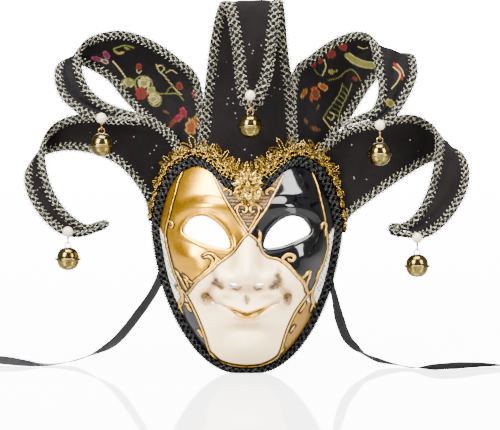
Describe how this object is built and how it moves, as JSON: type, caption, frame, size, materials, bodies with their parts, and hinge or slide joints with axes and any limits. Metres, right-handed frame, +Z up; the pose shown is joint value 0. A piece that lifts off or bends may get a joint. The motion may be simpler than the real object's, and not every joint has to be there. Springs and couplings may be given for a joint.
{
  "type": "full face carnival mask",
  "caption": "Full-face jester mask: moulded grinning face with eye holes, gold lace, cast ornament, and rolled cloth horns edged in braid, each hung with a pearl and a swinging bell.",
  "frame": {"origin": "the middle of the open back of the mask, level with the wearer's eyes, on the plane of the seat on the face", "axes": "+X to the viewer's right across the horns, +Y from the front of the mask back towards the wearer, +Z up"},
  "size_m": [0.4858, 0.1137, 0.3445],
  "materials": {
    "painted_shell": "papier-mache, painted cream, gold and lacquer black",
    "black_braid": "black gimp braid",
    "gold_lace": "gold metal-thread lace",
    "gilt_cast": "cast relief, gilt and worn",
    "velvet": "black velvet",
    "brocade": "black satin brocade with coloured vines",
    "silver_braid": "silver and black gimp braid",
    "pearl": "pearl lustre",
    "steel_wire": "bright wire",
    "brass_bell": "polished thin brass",
    "satin_ribbon": "charcoal satin"
  },
  "bodies": {
    "mask": {"face_shell": "painted_shell", "face_braid": "black_braid", "gold_lace": "gold_lace", "medallion": "gilt_cast", "horn_center": "velvet", "braid_center": "silver_braid", "pearl_center": "pearl", "eye_center": "steel_wire", "horn_upper_left": "brocade", "braid_upper_left": "silver_braid", "pearl_upper_left": "pearl", "eye_upper_left": "steel_wire", "horn_upper_right": "brocade", "braid_upper_right": "silver_braid", "pearl_upper_right": "pearl", "eye_upper_right": "steel_wire", "horn_lower_left": "velvet", "braid_lower_left": "silver_braid", "pearl_lower_left": "pearl", "eye_lower_left": "steel_wire", "horn_lower_right": "velvet", "braid_lower_right": "silver_braid", "pearl_lower_right": "pearl", "eye_lower_right": "steel_wire", "ribbon_left": "satin_ribbon", "ribbon_right": "satin_ribbon"},
    "bell_center": {"bell_center": "brass_bell"},
    "bell_upper_left": {"bell_upper_left": "brass_bell"},
    "bell_upper_right": {"bell_upper_right": "brass_bell"},
    "bell_lower_left": {"bell_lower_left": "brass_bell"},
    "bell_lower_right": {"bell_lower_right": "brass_bell"}
  },
  "joints": [
    {"name": "center_bell_swing", "type": "hinge", "parent": "mask", "child": "bell_center", "pos_m": [0.003, -0.0478, 0.1143], "axis": [0, 1, 0], "range_deg": [-45, 45]},
    {"name": "upper_left_bell_swing", "type": "hinge", "parent": "mask", "child": "bell_upper_left", "pos_m": [-0.1305, -0.0458, 0.0973], "axis": [0, 1, 0], "range_deg": [-45, 45]},
    {"name": "upper_right_bell_swing", "type": "hinge", "parent": "mask", "child": "bell_upper_right", "pos_m": [0.1193, -0.0468, 0.0891], "axis": [0, 1, 0], "range_deg": [-45, 45]},
    {"name": "lower_left_bell_swing", "type": "hinge", "parent": "mask", "child": "bell_lower_left", "pos_m": [-0.1615, -0.0475, -0.0056], "axis": [0, 1, 0], "range_deg": [-45, 45]},
    {"name": "lower_right_bell_swing", "type": "hinge", "parent": "mask", "child": "bell_lower_right", "pos_m": [0.1536, -0.0486, -0.0117], "axis": [0, 1, 0], "range_deg": [-45, 45]}
  ]
}
